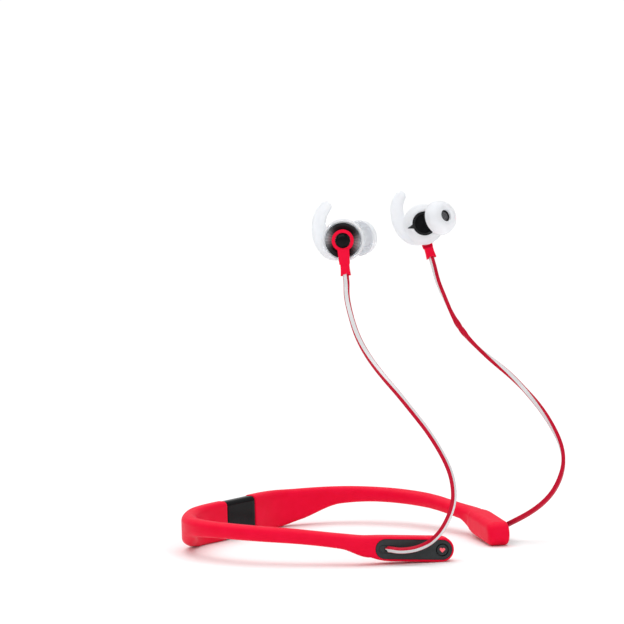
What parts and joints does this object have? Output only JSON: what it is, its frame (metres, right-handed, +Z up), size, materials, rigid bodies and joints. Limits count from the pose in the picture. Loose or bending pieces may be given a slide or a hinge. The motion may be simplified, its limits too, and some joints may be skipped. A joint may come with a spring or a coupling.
{
  "type": "neckband earphones",
  "caption": "In-ear headphones on a flat sprung neckband with a control module on each tip, flat cables, soft ear tips and fins.",
  "frame": {"origin": "the point midway between the nape and the module tips and midway between the arms, on the surface that the band stands on", "axes": "+X is the wearer's left, -Y is forward, the open side of the band, +Z is up"},
  "size_m": [0.136, 0.1533, 0.1597],
  "materials": {
    "red_silicone": "soft-touch silicone, moulded in bright red, satin",
    "gloss_black": "polished black, piano gloss",
    "moulded_black": "black moulded plastic, satin",
    "charcoal_panel": "charcoal moulded plastic, fine matt grain",
    "charcoal_button": "charcoal moulded plastic, satin",
    "heart_light": "pinkish red translucent light guide",
    "milky_silicone": "translucent milky white silicone",
    "red_cable": "dark red jacket with a light grey reflective stripe on one face",
    "dark_rubber": "black rubber, matt",
    "steel": "bright steel",
    "nozzle_mesh": "dark woven steel mesh",
    "board_green": "green circuit board",
    "battery_wrap": "laminated foil pouch, dark",
    "wire_insulation": "black wire insulation"
  },
  "bodies": {
    "nape": {"nape_cover": "gloss_black", "nape_sleeve_left": "red_silicone", "nape_sleeve_right": "red_silicone", "nape_spring": "steel", "nape_harness": "wire_insulation"},
    "left_arm": {"arm_sleeve_left": "red_silicone", "arm_spring_left": "steel", "arm_harness_left": "wire_insulation", "module_housing_left": "red_silicone", "control_panel_left": "charcoal_panel", "panel_gasket_left": "dark_rubber", "cable_grommet_left": "dark_rubber", "circuit_board_left": "board_green", "cable_left": "red_cable", "back_dish_left": "gloss_black", "cable_yoke_left": "red_silicone", "back_cap_left": "moulded_black", "cable_boot_left": "red_silicone", "ear_housing_left": "moulded_black", "nozzle_mesh_left": "nozzle_mesh", "driver_left": "steel", "ear_fin_left": "milky_silicone", "volume_up_switch": "steel", "call_switch": "steel", "volume_down_switch": "steel", "battery": "battery_wrap", "microphone": "steel", "sensor_window": "gloss_black", "sensor_board": "board_green"},
    "right_arm": {"arm_sleeve_right": "red_silicone", "arm_spring_right": "steel", "arm_harness_right": "wire_insulation", "module_housing_right": "red_silicone", "control_panel_right": "charcoal_panel", "panel_gasket_right": "dark_rubber", "cable_grommet_right": "dark_rubber", "circuit_board_right": "board_green", "cable_right": "red_cable", "back_dish_right": "gloss_black", "cable_yoke_right": "red_silicone", "back_cap_right": "moulded_black", "cable_boot_right": "red_silicone", "ear_housing_right": "moulded_black", "nozzle_mesh_right": "nozzle_mesh", "driver_right": "steel", "ear_fin_right": "milky_silicone", "heart_switch": "steel", "radio_shield": "steel", "charging_socket": "steel"},
    "heart_key": {"heart_button": "charcoal_button", "heart_light": "heart_light"},
    "volume_up_key": {"volume_up_button": "charcoal_button"},
    "call_key": {"call_button": "charcoal_button"},
    "volume_down_key": {"volume_down_button": "charcoal_button"},
    "port_flap": {"port_cover": "red_silicone"},
    "left_tip": {"ear_tip_left": "milky_silicone"},
    "right_tip": {"ear_tip_right": "milky_silicone"}
  },
  "joints": [
    {"name": "left_arm_flex", "type": "hinge", "parent": "nape", "child": "left_arm", "pos_m": [0.06259, 0.0355, 0.01367], "axis": [0, 0, 1], "range_deg": [-4, 12], "stiffness_Nm_per_rad": 1.5},
    {"name": "right_arm_flex", "type": "hinge", "parent": "nape", "child": "right_arm", "pos_m": [-0.06259, 0.0355, 0.01367], "axis": [0, 0, -1], "range_deg": [-4, 12], "stiffness_Nm_per_rad": 1.5},
    {"name": "heart_press", "type": "slide", "parent": "right_arm", "child": "heart_key", "axis": [0.7385, 0.6743, 0], "range_m": [0, 0.0005], "stiffness_N_per_m": 2000},
    {"name": "volume_up_press", "type": "slide", "parent": "left_arm", "child": "volume_up_key", "axis": [-0.7385, 0.6743, 0], "range_m": [0, 0.0005], "stiffness_N_per_m": 2000},
    {"name": "call_press", "type": "slide", "parent": "left_arm", "child": "call_key", "axis": [-0.7385, 0.6743, 0], "range_m": [0, 0.0005], "stiffness_N_per_m": 2000},
    {"name": "volume_down_press", "type": "slide", "parent": "left_arm", "child": "volume_down_key", "axis": [-0.7385, 0.6743, 0], "range_m": [0, 0.0005], "stiffness_N_per_m": 2000},
    {"name": "port_cover_swing", "type": "hinge", "parent": "right_arm", "child": "port_flap", "pos_m": [-0.03341, -0.04517, 0.0066], "axis": [0.0423, -0.0464, 0.998], "range_deg": [0, 95]},
    {"name": "left_tip_pull", "type": "slide", "parent": "left_arm", "child": "left_tip", "axis": [-0.3351, -0.905, 0.2622], "range_m": [0, 0.012]},
    {"name": "right_tip_pull", "type": "slide", "parent": "right_arm", "child": "right_tip", "axis": [0.9997, -0.0164, 0.0202], "range_m": [0, 0.012]}
  ]
}
